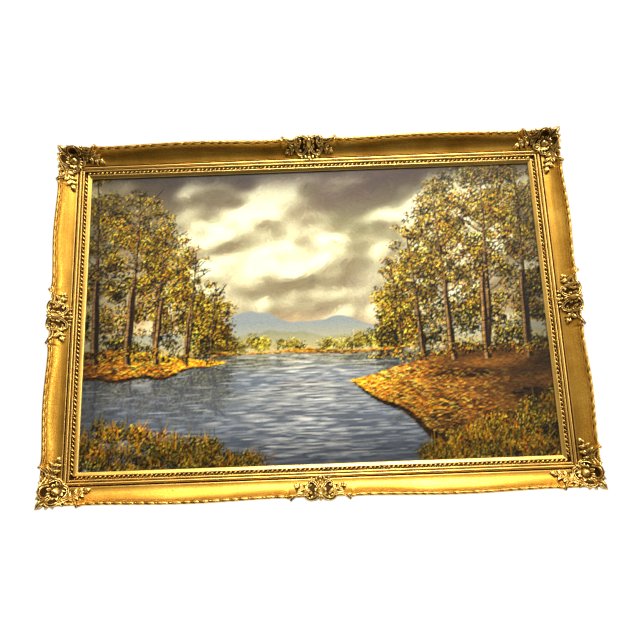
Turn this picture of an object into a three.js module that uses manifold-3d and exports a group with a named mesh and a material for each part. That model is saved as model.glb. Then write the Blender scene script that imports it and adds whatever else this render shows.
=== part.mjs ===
// An oil painting on stretched canvas in a swept gilt frame, with applied corner and centre ornaments.
//
// Millimetres. +X is the picture's right, +Z is up and the front faces -Y. The frame's flat back lies in the
// plane y = 0, and the origin is at the middle of the top rail's back, where the frame rests on its wall.
//
// A rail is drawn in its own frame: X runs along it, Z is the distance out from the sight edge (the edge of
// the opening that the picture shows through) and -Y is the height above the back. An ornament is drawn by
// t, the distance along a rail, and u, the distance in from the frame's outer line.

import * as THREE from 'three';
import { mergeVertices } from 'three/addons/utils/BufferGeometryUtils.js';
import Module from 'manifold-3d';

const wasm = await Module();
wasm.setup();

// ---- driving dimensions ----

const CANVAS_WIDTH = 914; // a 36 by 24 inch canvas
const CANVAS_HEIGHT = 609;
const CANVAS_THICKNESS = 0.8;
const SIGHT_WIDTH = 898; // the opening shows all but 8 mm of the canvas on each side
const SIGHT_HEIGHT = 592;
const GAP = 0.3; // clearance between pieces that touch
const FAR = 400; // longer than anything that it has to cut through

// rail section
const REBATE = 10; // the rebate wall, out from the sight edge
const REBATE_DEPTH = 18.2;
const RAIL_WIDTH = 60; // out from the sight edge to the rim
const RIM_HEIGHT = 50;
const BACK_WIDTH = 52; // the back is narrower: the outside of the rail is undercut
const COVE_SPLIT = 40; // the rail is straight inside this line and follows the rim outside it
const ANCHOR = 31; // middle of the rail's flat back, out from the sight edge

// the rim's scalloped plan
const OUTER_LINE = 66; // where u = 0 lies, out from the sight edge
const CORNER_HORN = 80; // the rim rises to a corner's horn here, along the rail from the frame's tip
const CENTRE_HORN = 58; // and to a centre ornament's horn here, along the rail from its middle
const HORN_RISE = 2.5;
const HORN_SLOPE = 0.9; // the rise ends this steeply towards the ornament
const SWELL = 4; // how far the rim bows out midway between horns

// applied ornaments
const SEAT_STEPS = 3; // flats in the cove of the seat that they rest on
const SUNK = 1.6; // how far their pieces reach below the seat before it cuts them off

// stretcher
const BAR_WIDTH = 45;
const BAR_DEPTH = 15;
const BAR_BEVEL = 3;
const KEY_LENGTH = 34;
const KEY_THICKNESS = 4;
const POINT_LENGTH = 15;
const POINT_WIDTH = 9;
const POINT_THICKNESS = 0.7;
const POINT_SPREAD = 1.7; // the points of a side are shared out over this many half lengths

const CANVAS_FRONT = REBATE_DEPTH - GAP;
const BAR_FRONT = CANVAS_FRONT - CANVAS_THICKNESS - GAP;
const BAR_BACK = BAR_FRONT - BAR_DEPTH;
const SIGHT_CENTRE_Z = -(SIGHT_HEIGHT / 2 + ANCHOR);

// ---- materials ----

const material = (color, roughness, metalness) => new THREE.MeshStandardMaterial({ color, roughness, metalness });
const gilt = material(0xd9a437, 0.4, 0.7);
const giltRelief = material(0xe8c766, 0.35, 0.7);
const paint = material(0x6f6a3c, 0.5, 0);
const pine = material(0xc9a06a, 0.7, 0);
const steel = material(0x9a9a98, 0.4, 0.9);

// ---- solids ----

// A closed three.js geometry as a manifold solid.
function solid(geometry) {
  const plain = geometry.clone();
  plain.deleteAttribute('normal');
  plain.deleteAttribute('uv');
  const merged = mergeVertices(plain, 1e-4);
  const vertProperties = new Float32Array(merged.attributes.position.array);
  const triVerts = new Uint32Array(merged.index.array);
  return new wasm.Manifold(new wasm.Mesh({ numProp: 3, vertProperties, triVerts }));
}

// A manifold solid as a three.js geometry.
function geometryOf(body) {
  const mesh = body.getMesh();
  const geometry = new THREE.BufferGeometry();
  geometry.setAttribute('position', new THREE.BufferAttribute(new Float32Array(mesh.vertProperties), 3));
  geometry.setIndex(new THREE.BufferAttribute(new Uint32Array(mesh.triVerts), 1));
  geometry.computeVertexNormals();
  return geometry;
}

const fuse = (bodies) => bodies.reduce((whole, body) => whole.add(body));

// Every vertex of a geometry moved by a function of its place.
function reshape(geometry, move) {
  const place = geometry.attributes.position;
  const point = new THREE.Vector3();
  for (let i = 0; i < place.count; i += 1) {
    point.fromBufferAttribute(place, i);
    move(point);
    place.setXYZ(i, point.x, point.y, point.z);
  }
  return geometry;
}

// An upright prism on a plan of [x, z] corners, from one height above the back to another.
function prism(corners, low, high) {
  const shape = new THREE.Shape(corners.map(([x, z]) => new THREE.Vector2(x, z)));
  const geometry = new THREE.ExtrudeGeometry(shape, { depth: high - low, bevelEnabled: false });
  return geometry.rotateX(Math.PI / 2).translate(0, -low, 0);
}

// ---- rails ----

// The front of the rail section as [out, height] points, from the sight edge to the rim.
function frontSection() {
  const lip = [[0, 20], [1.2, 21.4], [7, 24.6], [8.4, 24.2], [9, 22.8], [13.2, 23.6]];
  const innerBead = [[13.8, 26], [15.2, 27.4], [16.8, 26.9], [17.8, 25.4]];
  const outerBead = [[18.6, 26.4], [19.6, 28.6], [21.6, 29.6], [23.4, 28.6], [24.2, 26.3], [26.4, 26.3]];
  const cove = new THREE.QuadraticBezierCurve(
    new THREE.Vector2(27, 28.4),
    new THREE.Vector2(43, 30.5),
    new THREE.Vector2(52, 44.2),
  ).getPoints(5).map((p) => [p.x, p.y]);
  const rim = [[52.8, 46], [56, RIM_HEIGHT], [58.6, RIM_HEIGHT - 0.6], [RAIL_WIDTH, 46.6]];
  return [...lip, ...innerBead, ...outerBead, ...cove, ...rim];
}

// The hidden part of the section: undercut outside, flat back and rebate.
const backSection = () => [
  [RAIL_WIDTH - 5, 36], [BACK_WIDTH + 1, 8], [BACK_WIDTH, 0], [REBATE, 0], [REBATE, REBATE_DEPTH], [0, REBATE_DEPTH],
];

// The seat of the ornaments: a plain section that clears the rail by the gap and bridges its narrow grooves.
function seatSection(lift, coveSteps) {
  const beads = [[0, 21.9], [13.4, 26.4], [15, 27.9], [21.6, 30], [24, 29.1]];
  const cove = new THREE.QuadraticBezierCurve(
    new THREE.Vector2(26.8, 28.8),
    new THREE.Vector2(42.6, 30.9),
    new THREE.Vector2(51.6, 44.5),
  ).getPoints(coveSteps).map((p) => [p.x, p.y]);
  const edge = RAIL_WIDTH + GAP;
  const rim = [[55.8, RIM_HEIGHT + 0.4], [58.9, RIM_HEIGHT - 0.2], [edge, 46.7]];
  const side = [[edge - 5, 35.8], [BACK_WIDTH + 1.4, 0]];
  const front = [...beads, ...cove, ...rim].map(([out, height]) => [out, height + lift]);
  return [[0, 0], ...front, ...side];
}

// How far the rim stands out from its nominal line, at a distance s from the middle of a rail.
function rimShift(s, halfTip) {
  const along = Math.abs(s);
  const cornerHorn = halfTip - CORNER_HORN;
  const between = (along - CENTRE_HORN) / (cornerHorn - CENTRE_HORN);
  if (between <= 0 || between >= 1) {
    const beyond = Math.max(CENTRE_HORN - along, along - cornerHorn);
    return Math.max(HORN_RISE - beyond * HORN_SLOPE, 0);
  }
  const toHorn = Math.min(along - CENTRE_HORN, cornerHorn - along);
  return SWELL * Math.sin(Math.PI * between) ** 2 + HORN_RISE * Math.exp(-toHorn / 5);
}

// Stations along a rail, close together only where the rim turns.
function railStations(halfTip) {
  const cornerHorn = halfTip - CORNER_HORN;
  const fall = HORN_RISE / HORN_SLOPE;
  const half = [CENTRE_HORN - fall, CENTRE_HORN, CENTRE_HORN + 8];
  const runs = 3;
  for (let i = 1; i < runs; i += 1) {
    half.push(THREE.MathUtils.lerp(CENTRE_HORN + 8, cornerHorn - 8, i / runs));
  }
  half.push(cornerHorn - 8, cornerHorn, cornerHorn + fall, halfTip + 6);
  return [...half.map((s) => -s).reverse(), ...half];
}

// A section drawn straight along X through the given stations.
function sweep(section, stations) {
  const shape = new THREE.Shape(section.map(([out, height]) => new THREE.Vector2(out, height)));
  const steps = stations.length - 1;
  const geometry = new THREE.ExtrudeGeometry(shape, { depth: steps, steps, bevelEnabled: false });
  return reshape(geometry, (p) => {
    const [out, height, step] = [p.x, p.y, p.z];
    p.set(stations[Math.round(step)], -height, out);
  });
}

// The mitred plan of a rail whose sight edge is 2 * halfSight long, with its ends moved out by extra.
function mitredPlan(halfSight, extra) {
  const inner = -60;
  const outer = 90;
  const [a, b] = [halfSight + inner + extra, halfSight + outer + extra];
  return prism([[-a, inner], [a, inner], [b, outer], [-b, outer]], -10, 80);
}

// The rail is straight from the sight edge to the middle of the cove, and its outer part follows the rim.
function railGeometry(halfSight) {
  const halfTip = halfSight + OUTER_LINE;
  const front = frontSection();
  const split = front.findIndex(([out]) => out > COVE_SPLIT);
  const [splitOut] = front[split];
  const back = backSection();
  const wall = back.findIndex(([out]) => out < splitOut);
  const stations = railStations(halfTip);
  const ends = [stations[0], stations.at(-1)];
  const inner = solid(sweep([...front.slice(0, split + 1), [splitOut, 0], ...back.slice(wall)], ends));
  const outer = reshape(sweep([...front.slice(split), ...back.slice(0, wall), [splitOut, 0]], stations), (p) => {
    const fromSplit = THREE.MathUtils.smoothstep(p.z, splitOut, BACK_WIDTH);
    const fromBack = THREE.MathUtils.smoothstep(-p.y, 6, RIM_HEIGHT - 8);
    p.z += fromSplit * fromBack * rimShift(p.x, halfTip);
  });
  return geometryOf(inner.add(solid(outer)).intersect(solid(mitredPlan(halfSight, -GAP * 0.5 * Math.SQRT2))));
}

// ---- ornament pieces, drawn by [t, u] ----

// Height of the seat at a distance out from the sight edge. It falls away past the rim.
function seatHeight(out) {
  if (out > RAIL_WIDTH - 1) {
    return RIM_HEIGHT - (out - RAIL_WIDTH + 1) * 0.6;
  }
  const front = seatSection(GAP, SEAT_STEPS).slice(1);
  const next = Math.max(1, front.findIndex(([x]) => x > out));
  const [a, b] = [front[next - 1], front[next]];
  return THREE.MathUtils.mapLinear(out, a[0], b[0], a[1], b[1]);
}

// A piece drawn on the flat as [t, distance out, lift off the seat] is bent onto the seat of a straight rail,
// or of a corner, where the seat follows whichever rail is further out.
const onStraight = (p) => p.set(p.x, p.y, seatHeight(p.y) + p.z);
const onMitre = (p) => p.set(p.x, p.y, seatHeight(Math.max(p.y, OUTER_LINE - p.x)) + p.z);

// A tapering ridge along a smooth path of [t, u] points. radius gives its half width along the path. The
// crest stands off the seat by the lift and a share of that width, and the underside is sunk below the seat,
// which cuts it off.
function band(points, radius, steps, lift, proud = 1.5) {
  const path = new THREE.CatmullRomCurve3(points.map(([t, u]) => new THREE.Vector3(t, OUTER_LINE - u, 0)));
  const geometry = new THREE.CylinderGeometry(1, 1, 1, 3, steps);
  const up = new THREE.Vector3(0, 0, 1);
  return reshape(geometry, (p) => {
    const along = THREE.MathUtils.clamp(p.y + 0.5, 0, 1);
    const centre = path.getPointAt(along);
    const side = new THREE.Vector3().crossVectors(path.getTangentAt(along), up).normalize();
    const width = radius(along);
    const height = p.z > 0 ? lift + width * proud : -SUNK;
    centre.addScaledVector(side, p.x * width).addScaledVector(up, height);
    p.copy(centre);
  });
}

// Radius functions: thick to thin, and thin at both ends.
const taper = (from, to) => (along) => THREE.MathUtils.lerp(from, to, along);
const spindle = (middle, end) => (along) => end + (middle - end) * Math.sin(Math.PI * along);

// A domed boss or pearl.
function dome(t, u, radiusT, radiusU, rise, segments) {
  const geometry = new THREE.SphereGeometry(1, segments, 4).rotateX(Math.PI / 2);
  return reshape(geometry, (p) => {
    p.set(t + p.x * radiusT, OUTER_LINE - u + p.y * radiusU, (p.z > 0 ? p.z * rise : p.z * SUNK) - SUNK / 4);
  });
}

// A leafy spray: a stem with lobes that leave it on both sides.
function spray(stem, lobes, thick) {
  const lobe = (line) => band(line, taper(5, 2.4), 1, 0.3, 1.1);
  return [band(stem, taper(thick, 2.8), 3, 0.8, 1.1), ...lobes.map(lobe)];
}

// ---- placing ornament pieces ----

// A piece drawn by [t, out, height] is set on a rail along X, or on either leg of the top right corner.
// The second of each pair is the mirror image of the first.
const onCentre = [(p) => p.set(p.x, -p.z, p.y), (p) => p.set(-p.x, -p.z, p.y)];
const onCorner = [
  (p) => p.set(p.y, -p.z, OUTER_LINE - p.x),
  (p) => p.set(OUTER_LINE - p.x, -p.z, p.y),
];

// Turns a mirrored geometry right side out.
function turnedOut(geometry) {
  const { index } = geometry;
  for (let i = 0; i < index.count; i += 3) {
    const first = index.getX(i);
    index.setX(i, index.getX(i + 2));
    index.setX(i + 2, first);
  }
  return geometry;
}

// Both mirror images of a list of drawn pieces, as solids.
function mirrored(pieces, [place, placeMirrored]) {
  return pieces.flatMap((piece) => [
    solid(reshape(piece.clone(), place)),
    solid(turnedOut(reshape(piece.clone(), placeMirrored))),
  ]);
}

// ---- centre ornament ----

function cartoucheGeometry() {
  const half = [
    // the large scroll that bows the outline
    band([[3, 10], [11, 4], [20, 3], [26.5, 7.5], [26, 15], [21, 18], [17, 14]], taper(5, 3), 7, 1),
    // the inner scroll, curled round its pearl
    band([[3, 22], [8, 30], [15, 35], [21.5, 33.5], [22, 28], [17, 27.5]], taper(4.2, 2.6), 5, 0.8),
    // the ribbon that runs out to the horn
    band([[24, 11], [33, 13], [41, 12], [47, 7], [52, 1], [54, -3]], taper(4.8, 1.6), 5, 0.4),
    ...spray([[21, 18], [33, 23], [43, 29]], [
      [[31, 22], [30, 33]],
      [[36, 25], [38, 37]],
      [[35, 24], [46, 21]],
    ], 5.4),
  ];
  const middle = [
    dome(0, 17, 7.4, 8.4, 9, 8),
    dome(0, 28, 4, 4.2, 5.5, 6),
    band([[0, 30], [0, 37], [0, 44]], spindle(4.4, 2), 3, 0.6),
    band([[0, 12], [0, 6], [0, -0.5]], spindle(5, 3), 2, 0.5),
  ].map((piece) => reshape(piece, onStraight));
  half.forEach((piece) => reshape(piece, onStraight));
  const body = fuse([
    ...mirrored(half, onCentre),
    ...middle.map((piece) => solid(reshape(piece, onCentre[0]))),
  ]);
  return geometryOf(body.subtract(solid(sweep(seatSection(0, SEAT_STEPS), [-FAR, FAR]))));
}

// ---- corner ornament, drawn for the top right corner with the sight corner at the origin ----

// A mitred length of the seat on one leg of the corner, and its mirror image on the other.
function cornerSeats() {
  const length = 120;
  const plan = [[-length, -length - 1], [90, 89], [90, 90], [-length, 90]];
  const leg = solid(sweep(seatSection(0, SEAT_STEPS), [-length, 95])).intersect(solid(prism(plan, -10, 90)));
  const other = solid(turnedOut(reshape(geometryOf(leg), (p) => p.set(p.z, p.y, p.x))));
  return leg.add(other);
}

function cornerGeometry() {
  const half = [
    // the scroll on the outer side
    band([[46, 21], [42, 12], [33, 8], [24.5, 9.5], [20, 15.5], [25, 22.5]], taper(4.8, 3.4), 7, 1.2),
    // the ribbon that runs out to the horn
    band([[40, 10], [47, 14], [55, 18], [64, 19.5], [71, 15], [75, 7], [74, -4]], taper(4.8, 1.6), 6, 0.6),
    // the arc that frames the shell
    band([[46, 17], [53, 27], [52, 38], [43, 43]], taper(3.4, 4), 4, 0.4),
    ...spray([[53, 18], [66, 24], [80, 28], [92, 34]], [
      [[63, 22], [65, 34]],
      [[67, 24], [78, 18]],
      [[73, 26], [79, 37]],
    ], 5.4),
    // ribs of the shell
    band([[34, 35], [43, 36.5], [52, 35]], spindle(3.8, 2), 2, 0.7),
  ];
  const middle = [
    dome(32, 32, 9, 9, 11, 9),
    dome(10, 10, 10, 10, 6, 8),
    band([[14, 14], [24, 24]], taper(6, 4), 1, 0.9, 1.2),
    band([[36, 36], [46, 46]], taper(4, 2), 1, 0.9, 1.2),
  ].map((piece) => reshape(piece, onMitre));
  half.forEach((piece) => reshape(piece, onMitre));
  const body = fuse([
    ...mirrored(half, onCorner),
    ...middle.map((piece) => solid(reshape(piece, onCorner[0]))),
  ]);
  return geometryOf(body.subtract(cornerSeats()));
}

// ---- canvas, stretcher and what holds them ----

function box(width, depth, height, x, y, z) {
  return new THREE.BoxGeometry(width, depth, height).translate(x, y, z);
}

// The canvas as a shallow tray: its painted front, and the edge that is turned back over the stretcher.
function canvasGeometry() {
  const depth = CANVAS_FRONT - BAR_BACK;
  const outside = box(CANVAS_WIDTH, depth, CANVAS_HEIGHT, 0, -(BAR_BACK + depth / 2), 0);
  const [width, height] = [CANVAS_WIDTH - 2 * CANVAS_THICKNESS, CANVAS_HEIGHT - 2 * CANVAS_THICKNESS];
  const inside = box(width, depth, height, 0, -(BAR_BACK + depth / 2) + CANVAS_THICKNESS, 0);
  return geometryOf(solid(outside).subtract(solid(inside)));
}

// A mitred stretcher bar whose outer edge is 2 * halfLength long. Its front slopes away from the canvas.
function barGeometry(halfLength) {
  const section = [
    [0, BAR_BACK], [0, BAR_FRONT], [-8, BAR_FRONT], [-BAR_WIDTH, BAR_FRONT - BAR_BEVEL], [-BAR_WIDTH, BAR_BACK],
  ];
  const mitre = GAP * 0.5 * Math.SQRT2;
  const outer = halfLength - mitre;
  const inner = outer - BAR_WIDTH - 5;
  const plan = [[-inner, -BAR_WIDTH - 5], [inner, -BAR_WIDTH - 5], [outer, 0], [-outer, 0]];
  const bar = solid(sweep(section, [-halfLength - 10, halfLength + 10]));
  return geometryOf(bar.intersect(solid(prism(plan, -5, 30))));
}

// A key is a flat wedge driven into the inside corner of the stretcher, which is at the origin. The two keys
// of a corner lie crossed, one above the other.
function keyGeometry(alongX, above) {
  const plan = [[GAP, GAP], [KEY_LENGTH, GAP], [KEY_LENGTH, KEY_LENGTH * 0.4], [GAP, KEY_LENGTH * 0.1]];
  const low = BAR_BACK + 2 + (above ? KEY_THICKNESS + GAP : 0);
  return prism(alongX ? plan : plan.map(([x, z]) => [z, x]).reverse(), low, low + KEY_THICKNESS);
}

// ---- the whole ----

const whole = new THREE.Group();

function addMesh(group, name, geometry, look) {
  const mesh = new THREE.Mesh(geometry, look);
  mesh.name = name;
  group.add(mesh);
}

// A group turned by quarter turns, clockwise as seen from the front, at a place measured from the middle of
// the picture.
function turnedGroup(quarters, x, z) {
  const group = new THREE.Group();
  group.rotation.y = (quarters * Math.PI) / 2;
  group.position.set(x, 0, SIGHT_CENTRE_Z + z);
  whole.add(group);
  return group;
}

const [halfWidth, halfHeight] = [SIGHT_WIDTH / 2, SIGHT_HEIGHT / 2];
const stretcherHalfWidth = CANVAS_WIDTH / 2 - CANVAS_THICKNESS - GAP;
const stretcherHalfHeight = CANVAS_HEIGHT / 2 - CANVAS_THICKNESS - GAP;

// Each side, with its group's place and the half lengths of its sight edge and its stretcher bar.
const sides = [
  { name: 'top', x: 0, z: halfHeight, along: halfWidth, bar: stretcherHalfWidth, points: 3 },
  { name: 'right', x: halfWidth, z: 0, along: halfHeight, bar: stretcherHalfHeight, points: 2 },
  { name: 'bottom', x: 0, z: -halfHeight, along: halfWidth, bar: stretcherHalfWidth, points: 3 },
  { name: 'left', x: -halfWidth, z: 0, along: halfHeight, bar: stretcherHalfHeight, points: 2 },
];
const cartouche = cartoucheGeometry();
sides.forEach(({ name, x, z, along, bar, points }, quarters) => {
  const side = turnedGroup(quarters, x, z);
  addMesh(side, `rail_${name}`, railGeometry(along), gilt);
  addMesh(side, `cartouche_${name}`, cartouche, giltRelief);
  const barOut = x === 0 ? stretcherHalfHeight - halfHeight : stretcherHalfWidth - halfWidth;
  addMesh(side, `stretcher_${name}`, barGeometry(bar).translate(0, 0, barOut), pine);
  for (let i = 0; i < points; i += 1) {
    const place = ((i + 0.5) / points - 0.5) * POINT_SPREAD * along;
    const height = BAR_BACK - GAP - POINT_THICKNESS / 2;
    const point = box(POINT_WIDTH, POINT_THICKNESS, POINT_LENGTH, place, -height, REBATE - GAP - POINT_LENGTH / 2);
    addMesh(side, `point_${name}_${i + 1}`, point, steel);
  }
});

const corner = cornerGeometry();
const corners = [['top_right', 1, 1], ['bottom_right', 1, -1], ['bottom_left', -1, -1], ['top_left', -1, 1]];
corners.forEach(([name, right, up], quarters) => {
  addMesh(turnedGroup(quarters, right * halfWidth, up * halfHeight), `corner_${name}`, corner, giltRelief);
  const [x, z] = [right * (stretcherHalfWidth - BAR_WIDTH), up * (stretcherHalfHeight - BAR_WIDTH)];
  const keys = turnedGroup(quarters + 2, x, z);
  const even = quarters % 2 === 0;
  addMesh(keys, `key_${name}_1`, keyGeometry(even, false), pine);
  addMesh(keys, `key_${name}_2`, keyGeometry(!even, true), pine);
});

const picture = turnedGroup(0, 0, 0);
addMesh(picture, 'canvas', canvasGeometry(), paint);
const braceLength = 2 * (stretcherHalfHeight - BAR_WIDTH - GAP);
const braceDepth = BAR_DEPTH - BAR_BEVEL;
addMesh(picture, 'stretcher_brace', box(BAR_WIDTH, braceDepth, braceLength, 0, -(BAR_BACK + braceDepth / 2), 0), pine);

export default whole;
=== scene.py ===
"""A framed landscape in oils: carved gilt frame, painted canvas and stretcher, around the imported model.

Lengths in the drawing functions are millimetres, and meshes are made in metres. A rail or ornament is
drawn by [s or t along the rail, distance out from the sight edge, height above the frame's flat back], and
put in its place by quarter turns about the picture's middle.
"""
from math import atan2, cos, pi, radians, sin, sqrt

import bpy
import numpy as np
from mathutils import Matrix, Vector


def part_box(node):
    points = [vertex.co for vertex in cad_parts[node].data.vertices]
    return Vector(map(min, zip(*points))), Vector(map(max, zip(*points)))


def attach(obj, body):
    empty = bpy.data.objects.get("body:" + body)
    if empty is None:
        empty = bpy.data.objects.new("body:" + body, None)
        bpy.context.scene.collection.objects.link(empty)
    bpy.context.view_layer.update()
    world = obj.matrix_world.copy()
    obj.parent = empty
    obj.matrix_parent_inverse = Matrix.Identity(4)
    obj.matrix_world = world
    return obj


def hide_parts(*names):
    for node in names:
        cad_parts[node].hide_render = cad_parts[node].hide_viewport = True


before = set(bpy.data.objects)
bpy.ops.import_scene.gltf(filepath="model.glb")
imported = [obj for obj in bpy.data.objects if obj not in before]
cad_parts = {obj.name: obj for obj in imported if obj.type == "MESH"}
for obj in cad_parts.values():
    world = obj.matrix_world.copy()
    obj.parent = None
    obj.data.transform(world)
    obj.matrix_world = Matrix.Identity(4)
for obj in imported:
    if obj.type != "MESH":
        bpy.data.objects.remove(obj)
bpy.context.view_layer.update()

MM = 0.001

# ---- places, from the frame ----

SIGHT_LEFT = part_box("rail_left")[1].x / MM
SIGHT_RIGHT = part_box("rail_right")[0].x / MM
SIGHT_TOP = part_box("rail_top")[0].z / MM
SIGHT_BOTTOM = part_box("rail_bottom")[1].z / MM
HALF_WIDTH = (SIGHT_RIGHT - SIGHT_LEFT) / 2
HALF_HEIGHT = (SIGHT_TOP - SIGHT_BOTTOM) / 2
MIDDLE_Z = (SIGHT_TOP + SIGHT_BOTTOM) / 2
CANVAS_LOW, CANVAS_HIGH = (np.array(corner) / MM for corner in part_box("canvas"))

SIDES = {  # name: quarter turns clockwise from the top, half sight length, distance of the sight edge
    "top": (0, HALF_WIDTH, HALF_HEIGHT),
    "right": (1, HALF_HEIGHT, HALF_WIDTH),
    "bottom": (2, HALF_WIDTH, HALF_HEIGHT),
    "left": (3, HALF_HEIGHT, HALF_WIDTH),
}
CORNERS = {"top_right": 0, "bottom_right": 1, "bottom_left": 2, "top_left": 3}

# ---- the frame's sizes, mm, as in the solid model ----

RAIL_WIDTH = 60
RIM_HEIGHT = 50
BACK_WIDTH = 52
REBATE = 10
REBATE_DEPTH = 18.2
OUTER_LINE = 66  # u is measured inwards from here
CORNER_HORN = 80
CENTRE_HORN = 58
HORN_RISE = 2.5
HORN_SLOPE = 0.9
SWELL = 4
MITRE_GAP = 0.2
STATION = 1.7  # spacing of a rail's stations


# ---- meshes ----

def placed(name, data):
    """A new object in the scene."""
    thing = bpy.data.objects.new(name, data)
    bpy.context.scene.collection.objects.link(thing)
    return thing


def make_mesh(name, points, faces, smooth=True):
    """A mesh object from points in metres and a list of faces."""
    mesh = bpy.data.meshes.new(name)
    mesh.from_pydata(np.asarray(points, float).tolist(), [], faces)
    mesh.validate()
    if smooth:
        mesh.shade_smooth()
    return placed(name, mesh)


def turned(points, quarters, origin):
    """Points [along, out, height] in mm, turned clockwise by quarters and moved, as places in metres."""
    along, out, height = np.asarray(points, float).T
    turn = quarters * pi / 2
    x = along * cos(turn) + out * sin(turn) + origin[0]
    z = -along * sin(turn) + out * cos(turn) + origin[1]
    return np.column_stack([x, -height, z]) * MM


def side_origin(quarters, distance):
    """Middle of a side's sight edge, as x and z."""
    turn = quarters * pi / 2
    return distance * sin(turn), distance * cos(turn) + MIDDLE_Z


def grid_faces(rows, columns, wrap=False):
    """Quads of a grid of points, numbered row by row. wrap joins the last column to the first."""
    across = columns if wrap else columns - 1
    i, j = np.meshgrid(np.arange(rows - 1), np.arange(across), indexing="ij")
    k = (j + 1) % columns
    near, far = i * columns, (i + 1) * columns
    quads = np.stack([near + j, near + k, far + k, far + j], axis=-1)
    return quads.reshape(-1, 4).tolist()


def tube_faces(rows, columns):
    """Quads of a closed tube, whose rings of points are the rows, and its two ends."""
    ends = [list(range(columns))[::-1], [(rows - 1) * columns + i for i in range(columns)]]
    return grid_faces(rows, columns, wrap=True) + ends


def store(thing, name, values):
    """Keeps a number for each vertex, for the material to read."""
    layer = thing.data.attributes.new(name, "FLOAT", "POINT")
    layer.data.foreach_set("value", np.asarray(values, np.float32))


def read(items, key, width, kind=float):
    """One property of each of a mesh's items, as rows of width numbers."""
    values = np.empty(len(items) * width, kind)
    items.foreach_get(key, values)
    return values.reshape(-1, width)


HOLLOW_REACH = 0.5  # mm: a hollow as deep as this counts as 1


def cavity(thing, rounds):
    """How far each vertex lies below (+) or above (-) its surroundings, smoothed in so many rounds."""
    mesh = thing.data
    count = len(mesh.vertices)
    places, normals = read(mesh.vertices, "co", 3), read(mesh.vertices, "normal", 3)
    a, b = read(mesh.edges, "vertices", 2, int).T
    links = np.maximum(np.bincount(a, minlength=count) + np.bincount(b, minlength=count), 1)[:, None]

    def spread(values):
        total = np.zeros_like(values)
        for axis in range(values.shape[1]):
            total[:, axis] = np.bincount(a, values[b, axis], count) + np.bincount(b, values[a, axis], count)
        return total / links

    level = places
    for _ in range(rounds):
        level = (level + spread(level)) / 2
    depth = ((level - places) * normals).sum(axis=1, keepdims=True)
    depth = (depth + spread(depth)) / 2
    return np.clip(depth[:, 0] / (HOLLOW_REACH * MM), -1, 1)


# ---- rails ----

def arc(centre, radius, start, end, count):
    angles = np.radians(np.linspace(start, end, count))
    return [(centre[0] + radius * cos(a), centre[1] + radius * sin(a)) for a in angles]


def bezier(a, b, c, count):
    t = np.linspace(0, 1, count)[:, None]
    a, b, c = np.array(a), np.array(b), np.array(c)
    return [tuple(p) for p in (1 - t) ** 2 * a + 2 * t * (1 - t) * b + t ** 2 * c]


def rail_section():
    """The rail's section as [out, height] points, and each point's share across the carved rim, or -1."""
    lip = [(0, REBATE_DEPTH), (0, 20), (0.3, 20.8), (1.2, 21.5)]
    lip += [(4.0, 23.0), (6.0, 24.1), (6.8, 24.3), (7.6, 23.9)]
    strip = [(8.1, 22.7), (8.4, 22.4), (13.4, 22.9), (13.6, 23.3)]
    beads = arc((15.6, 25.4), 1.85, 205, -20, 9) + [(18.2, 23.9)] + arc((21.4, 26.6), 2.75, 200, -22, 11)
    groove = [(24.6, 24.6), (26.0, 24.6), (26.5, 26.9), (26.9, 28.2)]
    cove = bezier((27.4, 28.5), (43, 30.5), (51.9, 44.2), 22)
    step = [(52.2, 45.3)]
    rim = bezier((52.7, 45.8), (55.2, 52.6), (60, 46.6), 17)
    hidden = [(59.2, 43), (57.4, 39), (55, 36), (53, 8), (52.6, 0.8)]
    hidden += [(BACK_WIDTH, 0), (REBATE, 0), (REBATE, REBATE_DEPTH)]
    points = lip + strip + beads + groove + cove + step + rim + hidden
    across = np.full(len(points), -1.0)
    start = len(lip + strip + beads + groove + cove + step)
    across[start:start + len(rim)] = np.linspace(0, 1, len(rim))
    return np.array(points, float), across


def smoothstep(values, low, high):
    t = np.clip((values - low) / (high - low), 0, 1)
    return t * t * (3 - 2 * t)


def hump(values, middle, width):
    return np.exp(-((values - middle) / width) ** 2)


def rim_shift(s, half_tip):
    """How far the scalloped rim stands out from its nominal line at s."""
    along = np.abs(s)
    corner = half_tip - CORNER_HORN
    between = np.clip((along - CENTRE_HORN) / (corner - CENTRE_HORN), 0, 1)
    inside = (along > CENTRE_HORN) & (along < corner)
    beyond = np.maximum(CENTRE_HORN - along, along - corner)
    to_horn = np.minimum(along - CENTRE_HORN, corner - along)
    run = SWELL * np.sin(np.pi * between) ** 2 + HORN_RISE * np.exp(-np.clip(to_horn, 0, None) / 5)
    return np.where(inside, run, np.maximum(HORN_RISE - beyond * HORN_SLOPE, 0))


TWIST_PITCH = 19.0  # of the leaves carved along the rim
TWIST_DEPTH = 2.3
LEAF_SHARE = 0.72  # of the pitch: a berry and a gap take the rest
SCALLOP = 1.3  # how far the rim's inner edge gives way between two leaves
CARVED_WAY = (0.25, 0.97)  # the way that the carving rises, outwards and forwards


def rim_phase(s, across):
    """Counts the rim's carved leaves along s. They slant, and aren't all one length."""
    return s / TWIST_PITCH + 0.9 * across + 0.22 * np.sin(s / 31) + 0.12 * np.sin(s / 13 + 1)


def rim_carving(s, across):
    """Height of the slanting leaves carved along the rim, each with a vein and a berry."""
    share = rim_phase(s, across) % 1
    leaf = np.where(share < LEAF_SHARE, np.sin(np.pi * share / LEAF_SHARE) ** 0.7 * (0.55 + 0.6 * share), 0)
    berry = np.exp(-((share - 0.86) / 0.06) ** 2 - ((across - 0.5) / 0.22) ** 2) * 0.75
    vein = 0.35 * hump(share, 0.40, 0.05)
    envelope = np.sin(np.pi * np.clip(across, 0, 1)) ** 0.5 * (1 + 0.22 * np.sin(s / 7.3) * np.sin(s / 19))
    return np.where(across >= 0, envelope * (TWIST_DEPTH * (leaf - vein + berry) - 0.9), 0)


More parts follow.
